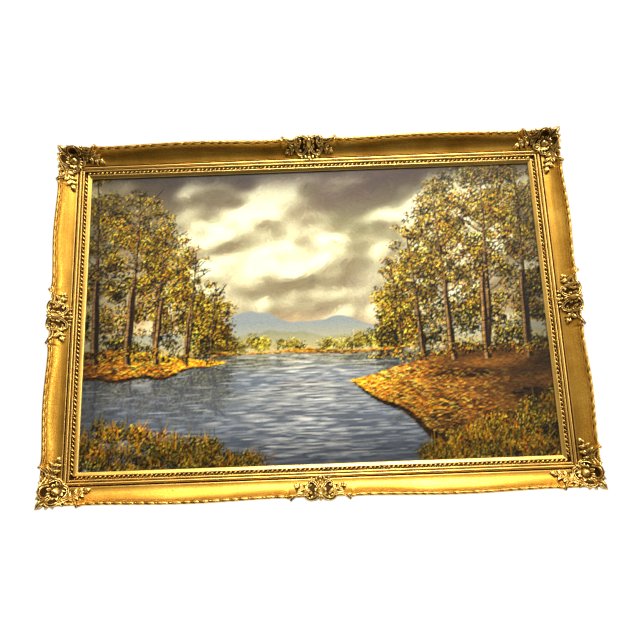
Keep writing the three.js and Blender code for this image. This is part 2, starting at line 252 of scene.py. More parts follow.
def rail_points(section, across, half_sight, s_share, swept):
    """Places [s, out, height] of the section at a share -1 to 1 of the rail. swept scallops its rim."""
    half_tip = half_sight + OUTER_LINE
    s = s_share * (half_sight + section[:, 0] - MITRE_GAP)
    out, height = section.T.copy()
    share = smoothstep(out, 40, BACK_WIDTH) * smoothstep(height, 6, RIM_HEIGHT - 8)
    if swept:
        out += share * rim_shift(s, half_tip)
    carving = rim_carving(s, across)
    edge = 0.5 - 0.5 * np.cos(2 * np.pi * rim_phase(s, across))
    out += np.where(across >= 0, SCALLOP * edge * (1 - np.clip(across, 0, 1)) ** 2, 0)
    return np.column_stack([s, out + carving * CARVED_WAY[0], height + carving * CARVED_WAY[1]])


def pip_points(centre, size):
    """A slanting oblong pip, as points and faces. size is half its length, half its width, and its rise."""
    c, s = cos(PIP_SLANT), sin(PIP_SLANT)
    around, tilts = 8, np.radians([-25, 20, 62])
    angles = np.linspace(0, 2 * np.pi, around, endpoint=False)
    rows = []
    for tilt in tilts:
        x, y = size[0] * np.cos(tilt) * np.cos(angles), size[1] * np.cos(tilt) * np.sin(angles)
        rows.append(np.column_stack([x * c - y * s, x * s + y * c, np.full(around, size[2] * sin(tilt))]))
    ends = np.array([[0, 0, size[2]], [0, 0, -size[2] / 2]])
    points = np.concatenate([*rows, ends]) + centre
    faces = grid_faces(len(tilts), around, wrap=True)
    last = (len(tilts) - 1) * around
    peak, foot = last + around, last + around + 1
    faces += [[last + j, last + (j + 1) % around, peak] for j in range(around)]
    faces += [[(j + 1) % around, j, foot] for j in range(around)]
    return points, faces


LEAF_TIP = (4.7, 2.1, 2.7)  # half length, half width and rise
BERRY = (1.5, 1.3, 2.0)
PIP_PITCH = 8.6  # from leaf tip to leaf tip, with a berry between them
PIP_SLANT = 0.72
TIP_OUT = 10.2
BERRY_OUT = 12.3
CHANNEL = (8.0, 13.7)  # the channel that they lie in, out from the sight edge, darkened with toning and painted shade
CHANNEL_HEIGHT = 22.5
# how much the channel is darkened: toning with painted shade
CHANNEL_TONE_AND_SHADE = 0.8
RAIL_ROUNDS = 5  # of smoothing, to find its hollows


def make_rail(name):
    quarters, half_sight, distance = SIDES[name]
    section, across = rail_section()
    n = len(section)
    steps = int(2 * (half_sight + RAIL_WIDTH) / STATION)
    shares = np.linspace(-1, 1, steps + 1)

    def swept(bent):
        return np.concatenate([rail_points(section, across, half_sight, share, bent) for share in shares])

    points = swept(True)
    faces = [face[::-1] for face in tube_faces(steps + 1, n)]
    bare = np.tile(np.isin(np.arange(n), [n - 3, n - 2, n - 1, 0]), steps + 1)  # the back and the rebate
    straight = make_mesh("straight_rail", swept(False) * MM, faces)  # the scallops aren't hollows
    parts, count = [points], len(points)
    # the hollows darken the gilt, most in the channel: toning with painted shade
    channel = (section[:, 0] > CHANNEL[0]) & (section[:, 0] < CHANNEL[1]) & (section[:, 1] > REBATE_DEPTH)
    hollows = [np.clip(cavity(straight, RAIL_ROUNDS) + np.tile(CHANNEL_TONE_AND_SHADE * channel, steps + 1), -1, 1)]
    bpy.data.objects.remove(straight)
    pips = 2 * int(2 * (half_sight + 8) / PIP_PITCH)
    for i in range(pips):
        s = (i + 0.5 - pips / 2) * PIP_PITCH / 2
        grown = 1 + 0.14 * sin(1.9 * i) * sin(0.7 * i)
        out, size = (BERRY_OUT, BERRY) if i % 2 else (TIP_OUT, LEAF_TIP)
        pip, pip_faces = pip_points([s, out, CHANNEL_HEIGHT], np.multiply(size, grown))
        faces += [[count + k for k in face] for face in pip_faces]
        parts.append(pip)
        count += len(pip)
        # each pip dark at its foot, painted shade with toning, and light on its top, a painted highlight
        hollows.append(np.interp(pip[:, 2] - CHANNEL_HEIGHT, [0.3, size[2]], [0.7, -0.5]))
    places = np.concatenate(parts)
    rail = make_mesh(f"gilt_rail_{name}", turned(places, quarters, side_origin(quarters, distance)), faces)
    store(rail, "cavity", np.concatenate(hollows))
    store(rail, "bare", np.append(bare, np.zeros(count - len(bare))))
    store(rail, "along", places[:, 0])
    store(rail, "out", places[:, 1])
    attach(rail, "root")
    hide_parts(f"rail_{name}")
    return rail


# ---- ornaments ----

SEAT = [(-5, 21.9), (0, 21.9), (13.4, 26.4), (15, 27.9), (21.6, 30), (24, 29.1)]
SEAT += bezier((26.8, 28.8), (42.6, 30.9), (51.6, 44.5), 12)
SEAT += [(55.8, 50.4), (58.9, 49.8)]
SEAT_OUT, SEAT_HEIGHT = np.array(SEAT).T


def seat_height(out):
    """Height of the surface that an ornament sits on. It falls away past the rim."""
    inside = np.interp(out, SEAT_OUT, SEAT_HEIGHT)
    return np.where(out > RAIL_WIDTH - 1, RIM_HEIGHT - (out - RAIL_WIDTH + 1) * 0.6, inside)


def curve_through(points, count):
    """Evenly spaced points on a smooth curve through a few, and its length. Centripetal Catmull-Rom."""
    p = np.array(points, float)
    p = np.concatenate([[2 * p[0] - p[1]], p, [2 * p[-1] - p[-2]]])
    knots = np.concatenate([[0], np.cumsum(np.sqrt(np.linalg.norm(np.diff(p, axis=0), axis=1)))])
    samples = []
    for t in np.linspace(knots[1], knots[-2], 24 * len(points)):
        i = min(max(np.searchsorted(knots, t, side="right") - 1, 1), len(p) - 3)
        level, k = p[i - 1:i + 3], knots[i - 1:i + 3]
        for spans in ([(0, 1), (1, 2), (2, 3)], [(0, 2), (1, 3)], [(1, 2)]):
            level = [((k[b] - t) * level[n] + (t - k[a]) * level[n + 1]) / (k[b] - k[a])
                     for n, (a, b) in enumerate(spans)]
        samples.append(level[0])
    samples = np.array(samples)
    run = np.concatenate([[0], np.cumsum(np.linalg.norm(np.diff(samples, axis=0), axis=1))])
    even = np.linspace(0, run[-1], count)
    return np.column_stack([np.interp(even, run, samples[:, k]) for k in range(2)]), run[-1]


def headings(line):
    """The unit direction of a line at each of its points."""
    tangent = np.gradient(line, axis=0)
    return tangent / np.linalg.norm(tangent, axis=1, keepdims=True)


BAND_STEP = 0.7  # from section to section of a carved band
ROOT = 1.2  # how far carvings reach into their seat
STEM_POINTS = 60  # along the stem of an acanthus leaf


def carved_band(points, width, height, lift, section):
    """A tapering carved band along a path of [t, u] points, as flat-drawn points and faces.

    width, height and lift are functions of the share along it, in mm. section gives the share of the height
    at a share -1 to 1 across it, and may vary along the band.
    """
    t_out = [(t, OUTER_LINE - u) for t, u in points]
    _, length = curve_through(t_out, 8)
    steps = max(6, int(length / BAND_STEP))
    line, _ = curve_through(t_out, steps)
    side = headings(line)[:, ::-1] * [1, -1]
    across = np.sin(np.linspace(-np.pi / 2, np.pi / 2, 13))
    rows = []
    for i, share in enumerate(np.linspace(0, 1, steps)):
        w = width(share)
        crest = lift(share) + height(share) * section(across, share)
        top = np.column_stack([line[i] + side[i] * across[:, None] * w, crest])
        foot = np.column_stack([line[i] + side[i] * across[::-4, None] * w * 0.9, np.full(4, -ROOT)])
        rows.append(np.concatenate([top, foot]))
    return np.concatenate(rows), tube_faces(steps, len(rows[0]))


def fluted(across, share):
    """A scroll's section: rolled edges and a hollow between them."""
    rolled = np.clip(1 - np.abs(across) ** 6, 0, 1) ** 0.5
    return rolled * (0.72 - 0.28 * np.cos(1.96 * np.pi * across))


def veined(across, share):
    """A leaf's section: two swelling halves, a sharp midrib groove and five nicks along its edge."""
    half = np.clip(1 - np.abs(across) ** 2.4, 0, 1) ** 0.6
    groove = 0.42 * hump(across, 0, 0.16)
    nick = 0.18 * np.cos(share * 5 * 2 * np.pi) * np.abs(across) ** 1.5
    return half * (1 - groove + nick)


def taper(start, end):
    """taper, spindle and leaf_width give a size at each share along a band."""
    return lambda share: start + (end - start) * share


def spindle(middle, end):
    return lambda share: end + (middle - end) * sin(pi * share) ** 0.8


def leaf_width(middle, tip):
    """Like a spindle, but it starts some way along, so that the leaf's root is broad."""
    return lambda share: tip + (middle - tip) * sin(pi * min(1, 0.15 + 0.85 * share)) ** 0.8


def ribbon(points, widths, heights, lift):
    """A hollowed ribbon. widths and heights are those at its two ends."""
    return carved_band(points, taper(*widths), taper(*heights), taper(lift, lift), fluted)


def scroll(points, start, end, lift=0.6):
    """A C or S scroll with a ball for its eye at the end."""
    eye = ball(*points[-1], end * 1.05, end * 1.05, end * 2.3)
    return [ribbon(points, (start, end), (start * 1.5, end * 1.7), lift), eye]


def leaf(start, end, width, height, bow=0.0):
    """One lobe of a leaf from its root to its tip."""
    start, end = np.array(start, float), np.array(end, float)
    run = end - start
    middle = (start + end) / 2 + np.array([-run[1], run[0]]) * bow
    return carved_band(
        [start, middle, end], leaf_width(width, 0.5), spindle(height, height * 0.45), taper(0.3, 1.3), veined)


def ball(t, u, radius_t, radius_u, rise, lift=0.0):
    """A boss or pearl: the drawn-flat points and faces of an ellipsoid on the seat."""
    around, rings = 28, 16
    angles = np.linspace(0, 2 * np.pi, around, endpoint=False)
    rows = []
    for tilt in np.linspace(-np.pi / 2 + 0.12, np.pi / 2 - 0.12, rings):
        rows.append(np.column_stack([
            t + radius_t * cos(tilt) * np.cos(angles),
            OUTER_LINE - u + radius_u * cos(tilt) * np.sin(angles),
            np.full(around, lift + (rise if tilt > 0 else ROOT) * sin(tilt)),
        ]))
    return np.concatenate(rows), tube_faces(rings, around)


def acanthus(stem, width, lobes, reach):
    """A leaf along a stem: a veined rib, pairs of lobes that point forwards, and a lobe at its tip."""
    line, _ = curve_through(stem, STEM_POINTS)
    tangent = headings(line)
    rib = carved_band(stem, taper(width, width * 0.5), spindle(width * 1.25, 3.0), taper(1.0, 1.0), veined)
    pieces = [rib]
    for k in range(lobes):
        share = (k + 0.35) / lobes
        i = int(share * (STEM_POINTS - 1))
        size = reach * (0.72 + 0.5 * sin(pi * share) - 0.45 * share)
        for side in (-1, 1):
            angle = side * (0.95 - 0.35 * share)
            c, s = cos(angle), sin(angle)
            t, u = tangent[i]
            way = np.array([t * c - u * s, t * s + u * c])
            root = line[i] + way * width * 0.2
            pieces.append(leaf(root, root + way * size, size * 0.31, size * 0.40 + 0.8, -0.14 * side))
    pieces.append(leaf(line[-8], line[-1] + tangent[-1] * reach * 0.55, reach * 0.30, reach * 0.42))
    return pieces


def petals(middle, first, inner, outer, width, height):
    """Half a ring of eight petals round a boss, from the first one's angle. Its mirror image completes it."""
    pieces = []
    for turn in np.radians(first + 45 * np.arange(4)):
        way = np.array([sin(turn), cos(turn)])
        pieces.append(leaf(middle + way * inner, middle + way * outer, width, height))
    return pieces


def cartouche_pieces():
    """Half and middle pieces of the centre ornament."""
    half = [
        *scroll([[3, 10], [11, 4], [20, 3], [26.5, 7.5], [26, 15], [21, 18], [17, 14]], 4.4, 2.8),
        *scroll([[3, 22], [8, 30], [15, 35], [21.5, 33.5], [22, 28], [17, 27.5]], 3.6, 2.4),
        ribbon([[24, 11], [33, 13], [41, 12], [47, 8], [52, 4], [55, 1]], (4.0, 2.8), (5.6, 4.0), 0.4),
        *acanthus([[19, 19], [31, 22], [43, 28]], 3.2, 3, 12.5),
        leaf([3, 12], [9, -0.5], 3.4, 5),
        leaf([14, 9], [18, -0.5], 2.8, 4),
        leaf([8, 34], [7, 43], 2.6, 3.2),
        leaf([13, 36], [17, 42], 2.2, 2.6),
        ball(13, 22, 14, 14, 1.5),
        ball(30, 20, 15, 10, 1.2),
        *petals((0, 17), 22.5, 6, 12.5, 3.6, 3.8),
    ]
    middle = [
        ball(0, 17, 6.2, 7.2, 9.0, 0.4),
        ball(0, 28.5, 3.3, 3.4, 5.4, 0.5),
        ball(0, 35, 2.8, 2.8, 4.6, 0.5),
        carved_band(
            [[0, 36], [0, 40], [0, 44.5]], spindle(3.8, 1.0), spindle(4.2, 2), taper(0.2, 0.2), veined),
        leaf([0, 12], [0, -1.5], 4.2, 6.0),
    ]
    return half, middle


def corner_pieces():
    """Half and middle pieces of the corner ornament, drawn along the leg on the top rail."""
    half = [
        *scroll([[46, 21], [42, 12], [33, 8], [24.5, 9.5], [20, 15.5], [25, 22.5]], 4.4, 3.2, lift=1.0),
        ribbon(
            [[40, 10], [47, 14], [55, 18], [64, 18.5], [71, 14], [75, 8], [77, 2]],
            (4.4, 2.8), (6, 4.2), 0.6),
        ribbon([[46, 17], [53, 27], [52, 38], [43, 43]], (2.8, 3.6), (4.4, 5.0), 0.4),
        *acanthus([[52, 20], [66, 25], [79, 29], [88, 33]], 3.6, 4, 14.0),
        leaf([36, 34], [50, 32], 3.0, 4.4),
        leaf([35, 36], [51, 38], 3.0, 4.4),
        leaf([18, 15], [7, 1.5], 4.0, 5.6),
        leaf([26, 11], [19, 0.5], 3.2, 4.6),
        leaf([34, 9], [32, 1], 2.8, 3.8),
        leaf([44, 12], [52, 5], 2.8, 4.2),
        leaf([51, 15], [62, 8], 2.8, 4.2),
        ball(34, 24, 18, 17, 1.6),
        ball(60, 24, 18, 11, 1.3),
        *petals((32, 32), 67.5, 7, 15.5, 4.6, 4.2),
    ]
    middle = [
        ball(32, 32, 7.8, 7.8, 10.5, 0.6),
        leaf([22, 22], [1, 1], 6.0, 7.0),
        leaf([36, 36], [48, 48], 3.6, 5.2),
        ball(22, 22, 17, 17, 1.6),
    ]
    return half, middle


def mitred_seat(t, out):
    """Two rails meet at a corner, and the one that lies further out from its sight edge is the seat."""
    return seat_height(np.maximum(out, OUTER_LINE - t))


def mirror_corner(points):
    """Swaps the two legs of a corner: t is measured from the tip, and out from the sight edge."""
    t, out, height = points.T
    return np.column_stack([OUTER_LINE - out, OUTER_LINE - t, height])


VOXEL = 0.8
KEPT = 0.62  # share of the fused skin's triangles
ORNAMENT_ROUNDS = 8  # of smoothing, to find its hollows


def fused(half, middle, seat, mirror):
    """All pieces and the halves' mirror images, laid on their seat and fused into one skin.

    Gives its points in mm, its faces, and each point's height above the seat.
    """
    parts, faces, count = [], [], 0

    def add(points, piece_faces, flip):
        nonlocal count
        parts.append(points)
        faces.extend([count + k for k in (face[::-1] if flip else face)] for face in piece_faces)
        count += len(points)

    for k, (points, piece_faces) in enumerate(half + middle):
        t, out, lift = points.T
        seated = np.column_stack([t, out, seat(t, out) + lift])
        add(seated, piece_faces, False)
        if k < len(half):
            add(mirror(seated), piece_faces, True)
    rough = make_mesh("rough", np.concatenate(parts) * MM, faces)
    remesh = rough.modifiers.new("fuse", "REMESH")
    remesh.mode = "VOXEL"
    remesh.voxel_size = VOXEL * MM
    polish = rough.modifiers.new("polish", "SMOOTH")
    polish.factor = 0.5
    polish.iterations = 2
    thin = rough.modifiers.new("thin", "DECIMATE")
    thin.ratio = KEPT
    skin = rough.evaluated_get(bpy.context.evaluated_depsgraph_get()).to_mesh()
    places = read(skin.vertices, "co", 3) / MM
    skin_faces = [list(face.vertices) for face in skin.polygons]
    rough.to_mesh_clear()
    bpy.data.objects.remove(rough)
    return places, skin_faces, places[:, 2] - seat(*places[:, :2].T)


def make_ornaments():
    made = []
    centre = fused(*cartouche_pieces(), lambda t, out: seat_height(out), lambda points: points * [-1, 1, 1])
    for name, (quarters, _, distance) in SIDES.items():
        made.append(finish_ornament(f"cartouche_{name}", *centre, quarters, side_origin(quarters, distance)))
    points, faces, rise = fused(*corner_pieces(), mitred_seat, mirror_corner)
    points = points * [-1, 1, 1] + [OUTER_LINE, 0, 0]
    faces = [face[::-1] for face in faces]
    for name, quarters in CORNERS.items():
        right, up = (1 if quarters < 2 else -1), (1 if quarters in (0, 3) else -1)
        origin = (right * HALF_WIDTH, up * HALF_HEIGHT + MIDDLE_Z)
        made.append(finish_ornament(f"corner_{name}", points, faces, rise, quarters, origin))
    return made


def finish_ornament(node, points, faces, rise, quarters, origin):
    """rise is each point's height above the seat: the ground between the carvings is darkened as a hollow,
    toning with painted shade.
    """
    ornament = make_mesh(f"carved_{node}", turned(points, quarters, origin), faces)
    ground = 1 - smoothstep(rise, 0.8, 4.2)
    # darker in hollows and on the ground between carvings: toning with painted shade
    store(ornament, "cavity", np.clip(cavity(ornament, ORNAMENT_ROUNDS) + 0.55 * ground - 0.10, -1, 1))
    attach(ornament, "root")
    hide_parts(node)
    return ornament


# ---- the painting: a generic autumn lake, worked out in the colours of the day ----

CANVAS_WIDTH = CANVAS_HIGH[0] - CANVAS_LOW[0]
CANVAS_HEIGHT = CANVAS_HIGH[2] - CANVAS_LOW[2]
COLUMNS, ROWS = 366, 244  # points of the canvas mesh
FINE = 2  # painted cells to a mesh cell
GRAIN_X = CANVAS_WIDTH / (COLUMNS * FINE - 1)
GRAIN_Y = CANVAS_HEIGHT / (ROWS * FINE - 1)
SHORE = 222.0  # height of the far shore above the canvas's lower edge
MIDDLE_X = 457  # the left wood's trees stand before this, and the right wood's beyond it
# the picture: sRGB shares and a leaf mark, from the bottom up
field = np.zeros((ROWS * FINE, COLUMNS * FINE, 4))
field_x = np.arange(COLUMNS * FINE) * GRAIN_X
field_y = np.arange(ROWS * FINE)[:, None] * GRAIN_Y
rng = np.random.default_rng(41)
uniform, normal = rng.uniform, rng.normal

# colours as shares of sRGB
DARK = [(0.09, 0.08, 0.03), (0.14, 0.12, 0.04), (0.20, 0.14, 0.05), (0.10, 0.11, 0.06)]
OLIVE = [(0.36, 0.33, 0.11), (0.45, 0.40, 0.15), (0.29, 0.29, 0.12), (0.50, 0.43, 0.17)]
GOLD = [(0.70, 0.56, 0.20), (0.78, 0.63, 0.26), (0.60, 0.49, 0.16), (0.74, 0.50, 0.15)]
PALE = [(0.90, 0.80, 0.44), (0.83, 0.75, 0.42), (0.95, 0.86, 0.56)]
RUST = [(0.68, 0.43, 0.19), (0.76, 0.54, 0.26), (0.56, 0.35, 0.16), (0.84, 0.65, 0.36)]
EARTH = [(0.40, 0.25, 0.12), (0.30, 0.19, 0.10), (0.52, 0.35, 0.17)]
HAZE = [(0.62, 0.60, 0.38), (0.70, 0.64, 0.38), (0.55, 0.56, 0.40), (0.76, 0.66, 0.38)]
BARK = (0.22, 0.15, 0.08)
BARK_LIT = (0.86, 0.68, 0.42)
WARMTH = 0.28  # how much the warm colours are deepened at the end
SKY = [(0.82, 0.75, 0.55), (0.70, 0.66, 0.52), (0.47, 0.44, 0.33), (0.34, 0.33, 0.27)]  # from the shore up
CLOUD_SHADE = (0.56, 0.51, 0.39)
CLOUD_LIGHT = (0.98, 0.96, 0.81)


def stamp(x, y, length, width, angle, colour, strength):
    """One touch of the brush: a soft-edged ellipse, placed in mm from the canvas's lower left corner."""
    reach = max(length, width) / 2 + 2
    low_i, high_i = max(int((y - reach) / GRAIN_Y), 0), int((y + reach) / GRAIN_Y) + 2
    low_j, high_j = max(int((x - reach) / GRAIN_X), 0), int((x + reach) / GRAIN_X) + 2
    patch = field[low_i:max(high_i, 0), low_j:max(high_j, 0)]
    if patch.size == 0:
        return
    v = (np.arange(low_i, low_i + patch.shape[0]) * GRAIN_Y - y)[:, None]
    u = (np.arange(low_j, low_j + patch.shape[1]) * GRAIN_X - x)[None, :]
    c, s = cos(angle), sin(angle)
    r = np.sqrt(((u * c + v * s) / (length / 2)) ** 2 + ((v * c - u * s) / (width / 2)) ** 2)
    soft = max(0.25, 1.4 / min(length, width))
    alpha = strength * np.clip((1 + soft / 2 - r) / soft, 0, 1)
    patch += (np.append(colour, 0)[:4] - patch) * alpha[..., None]


def pick(colours, spread=0.04):
    """One of the colours, a little lighter or darker, marked as leaf."""
    return np.append(np.clip(np.array(colours[rng.integers(len(colours))]) + normal(0, spread), 0.01, 1), 1)


def clouded(wide, high):
    """Smooth noise from 0 to 1 over the whole canvas, with features about wide by high mm."""
    height, width = ROWS * FINE, COLUMNS * FINE
    fy = np.fft.fftfreq(height, GRAIN_Y)[:, None] * high
    fx = np.fft.rfftfreq(width, GRAIN_X)[None, :] * wide
    level = np.fft.rfft2(normal(size=(height, width))) * np.exp(-6 * (fx ** 2 + fy ** 2))
    level = np.fft.irfft2(level, (height, width))
    return np.clip(0.5 + level / level.std() / 5, 0, 1)


def mixed(a, b, share):
    return np.asarray(a) + (np.asarray(b) - np.asarray(a)) * share


def wash(colour, share):
    """Lays a colour over the field, by a share for each place."""
    field[..., :3] += (colour - field[..., :3]) * share[..., None]


def paint_sky():
    """Heaped cream clouds in a grey sky, laid in with short strokes that follow them."""
    up = np.clip((field_y - SHORE) / (CANVAS_HEIGHT - SHORE), 0, 1)
    for k, stops in enumerate(zip(*SKY)):
        field[..., k] = np.interp(up + 0.2 * (clouded(260, 90) - 0.5), [0, 0.3, 0.8, 1], stops)
    heap = 0.50 * clouded(170, 100) + 0.32 * clouded(72, 46) + 0.18 * clouded(30, 22)
    slope = np.roll(heap, (-9, 7), axis=(0, 1)) - heap
    lit = smoothstep(heap * 0.6 - slope * 3.4, 0.06, 0.54)[..., None]
    cover = smoothstep(heap, 0.33, 0.50) * (1 - smoothstep(up, 0.86, 1.02)) * smoothstep(up, 0.04, 0.25)
    wash(mixed(CLOUD_SHADE, CLOUD_LIGHT, lit), cover * 0.92)
    for _ in range(2600):
        x, y = uniform(0, CANVAS_WIDTH), uniform(SHORE, CANVAS_HEIGHT)
        i, j = int(y / GRAIN_Y) - 1, int(x / GRAIN_X) - 1
        turn = atan2(heap[i, j] - heap[i - 4, j], heap[i, j] - heap[i, j - 4]) + pi / 2
        colour = field[i, j, :3] * normal(1.0, 0.035) + normal(0, 0.008, 3)
        stamp(x, y, uniform(9, 24), uniform(4, 7), turn, np.clip(colour, 0, 1), 0.6)


def foliage(x, y, wide, high, leaves, size, dense, base=DARK, glow=0.6):
    """A clump of leaves: a dark heart, the leaf colour over it, and touches of light at its upper left."""
    count = int(dense * 3.4 * wide * high / size ** 2)
    tone = uniform(0.55, 1.2)
    for share in np.linspace(0, 1, count, endpoint=False):
        radius = sqrt(uniform()) * (0.75 if share < 0.3 else 1.1)
        turn = uniform(0, 2 * pi)
        px, py = x + wide * radius * cos(turn), y + high * radius * sin(turn)
        if share < 0.26:
            colour, grow = pick(base), 1.6
        elif share < 0.66:
            colour, grow = pick(leaves), 1.0
        else:
            colour, grow = pick(PALE if uniform() < glow else leaves), 0.9
            px, py = x + (px - x) * 0.8 - 0.22 * wide, y + (py - y) * 0.8 + 0.28 * high
        colour = np.clip(colour * [tone, tone, tone * 0.9, 1], 0, 1)
        length = size * grow * uniform(0.8, 1.5)
        stamp(px, py, length, size * grow * 0.5, uniform(0, pi), colour, 0.88)


def limb(start, end, width, tip, bow, lit=0.8):
    """A trunk or branch with a lit left edge, and the places along it."""
    start, end = np.array(start, float), np.array(end, float)
    run = end - start
    side = np.array([-run[1], run[0]]) / max(np.hypot(*run), 1)
    steps = max(4, int(np.hypot(*run) / 2.2))
    angle = atan2(run[1], run[0])
    places = []
    for share in np.linspace(0, 1, steps + 1):
        wander = bow * sin(pi * share) + 0.3 * bow * sin(9 * share)
        place = start + run * share + side * wander
        wide = width + (tip - width) * share
        stamp(*place, 5, wide, angle, np.array(BARK) * uniform(0.6, 1.1), 0.9)
        if wide > 2 and uniform() < lit:
            light = np.array(BARK_LIT) * uniform(0.65, 1.05)
            stamp(place[0] - wide * 0.22, place[1], 4.5, wide * 0.42, angle, light, 0.8)
        places.append(place)
    return places


def paint_tree(x, y, height, lean, crown, leaves):
    """A trunk with boughs, and leaves before them that leave the trunk in sight."""
    places = limb((x, y), (x + lean, y + height), height * 0.034, 1.6, normal(0, 7))
    for _ in range(9):
        root = places[int(len(places) * uniform(0.3, 0.9))]
        reach = rng.choice([-1, 1]) * crown * uniform(0.35, 0.8)
        limb(root, root + [reach, abs(reach) * uniform(0.6, 1.3)], height * 0.012, 1.0, normal(0, 5))
    for _ in range(34):
        turn, radius = uniform(0, 2 * pi), sqrt(uniform(0.05, 1))
        px = x + lean * 0.8 + crown * radius * cos(turn)
        py = y + height * 0.64 + height * 0.42 * radius * sin(turn)
        grow = uniform(0.14, 0.26) * crown
        foliage(px, py, grow * 1.25, grow * 0.8, leaves, 3.3, uniform(0.5, 1.0))


def paint_wood(left, right, crest, leaves, count):
    """A wood's mass of leaves below crest(x): dark and close at its foot, light and thin at its top."""
    for share in np.sort(uniform(size=count))[::-1]:
        x = uniform(left, right)
        rise = (crest(x) - SHORE) * share ** 0.8
        grow = uniform(11, 24)
        tones = leaves if uniform() < 0.5 + 0.5 * share else OLIVE + DARK
        foliage(x, SHORE + rise, grow * 1.2, grow * 0.85, tones, 3.6, 1.05 - 0.6 * share,
                base=DARK if share < 0.5 else OLIVE, glow=0.35 + 0.45 * share)


def paint_distance():
    """Blue hills with haze at their feet, and a far row of trees."""
    x, y = field_x, field_y
    ridges = [
        (SHORE + 46 + 40 * hump(x, 330, 80) + 24 * hump(x, 500, 60), (0.60, 0.62, 0.60)),
        (SHORE + 26 + 20 * hump(x, 440, 90) + 10 * np.sin(x / 43), (0.52, 0.54, 0.45)),
    ]
    rough = clouded(16, 16)[60]
    for profile, colour in ridges:
        alpha = np.clip((profile + 9 * (rough - 0.5) - y) / 3, 0, 1) * (y > SHORE - 6)
        wash(mixed((0.80, 0.74, 0.55), colour, np.clip((y - SHORE) / 60, 0, 1)[..., None]), alpha)
    for _ in range(90):
        px = uniform(200, 680)
        size = uniform(7, 14) * (1 + abs(px - 430) / 260)
        foliage(px, SHORE + 2 + size * uniform(0.5, 1.3), size * 0.8, size * 0.8, HAZE, 3.0, 0.9, base=OLIVE)


def paint_water():
    """The lake: what stands above the far shore, turned over and dulled, then level strokes of grey."""
    shore = int(SHORE / GRAIN_Y)
    slate = (0.46, 0.49, 0.54)
    for row in range(shore):
        depth = (shore - row) * GRAIN_Y
        above = field[min(shore + int((shore - row) * 1.15), field.shape[0] - 1), :, :3]
        veil = np.clip(0.40 + depth / 330, 0, 0.9)
        dull = mixed(np.roll(above, int(normal(0, 1.4)), axis=0) * 0.80, slate, veil)
        field[row, :, :3] = dull * (1.06 - 0.22 * np.clip(depth / 200, 0, 1))
        field[row, :, 3] = 0
    for _ in range(2600):
        y = SHORE * (1 - uniform() ** 0.8)
        near = 1 - y / SHORE
        tone = uniform()
        colour = mixed((0.27, 0.31, 0.38), (0.84, 0.85, 0.84), tone ** 1.7)
        stamp(uniform(0, CANVAS_WIDTH), y, uniform(10, 46) * (0.5 + near), 1.3 + 2.0 * near,
              normal(0, 0.02), colour, 0.20 + 0.24 * tone)
    for _ in range(700):
        y = SHORE * uniform(0.10, 0.98)
        stamp(normal(440, 85), y, uniform(12, 46), 1.7, 0, (0.95, 0.93, 0.86), 0.42)


def ground(edge, low, high, colours, count):
    """A bank between the two heights edge(x), from x = low to high: earth, then grass and fallen leaves."""
    top, bottom = edge(field_x)
    inside = np.clip((top - field_y) / 2, 0, 1) * np.clip((field_y - bottom) / 2, 0, 1)
    inside *= (field_x >= low) & (field_x <= high)
    wash(mixed((0.15, 0.10, 0.05), (0.56, 0.38, 0.18), clouded(40, 12)[..., None]), inside)
    patches = clouded(110, 34)
    for px in uniform(low, high, count):
        upper, lower = (height[0] for height in edge(np.array([px])))
        share = uniform()
        if upper - lower > 2:
            py = lower + (upper - lower) * share
            spot = int(max(py, 0) / GRAIN_Y), int(np.clip(px, 0, CANVAS_WIDTH) / GRAIN_X)
            light = 0.50 + 1.20 * patches[spot]
            light *= 1.15 - 0.5 * smoothstep(px, 640, 880)
            colour = pick(DARK if share < 0.12 or light < 0.65 and share < 0.6 else colours, 0.05)
            stamp(px, py, uniform(4, 12), uniform(1.3, 2.2), normal(-0.05, 0.28),
                  np.clip(colour * [light, light, light, 1], 0, 1), 0.52)


def near_bank(x):
    """The right bank's top, and its edge on the water."""
    top = 158 + 66 * smoothstep(x, 470, 780)
    return top, np.minimum(top, 172 - 172 * smoothstep(x, 470, 780) + 8 * np.sin(x / 19))


def left_bank(x):
    top = 238 - 30 * smoothstep(x, 60, 290)
    return top, np.minimum(top, 176 + 32 * smoothstep(x, 120, 300) + 4 * np.sin(x / 15))


def far_bank(x):
    return SHORE + 4 + 3 * np.sin(x / 31), SHORE - 4 + 3 * np.sin(x / 47)


def bushes(left, right, rise, count):
    """Undergrowth along the canvas's lower edge, higher ones first, with blades of grass among it."""
    for share in np.sort(uniform(size=count))[::-1]:
        x = uniform(left, right)
        y, grow = share * rise(x), uniform(11, 22)
        foliage(x, y, grow * 1.2, grow * 0.8, [OLIVE, OLIVE, RUST, GOLD][rng.integers(4)], 3.5, 0.9)
        for _ in range(rng.integers(0, 6)):
            reach, lean = grow * uniform(0.8, 1.9), normal(0, 0.3)
            px = x + normal(0, grow * 0.6)
            stamp(px + lean * reach / 2, y + reach / 2, reach, 1.7, pi / 2 - lean, pick(OLIVE + GOLD), 0.85)


LEFT_TREES = [  # x, height, lean, crown
    (30, 370, -10, 66), (92, 340, 16, 62), (148, 290, 24, 52), (206, 220, 16, 40), (252, 150, 12, 26)]
RIGHT_TREES = [
    (622, 180, -12, 38), (668, 260, -22, 52), (724, 350, -16, 66), (788, 380, 14, 74), (868, 380, 8, 74)]


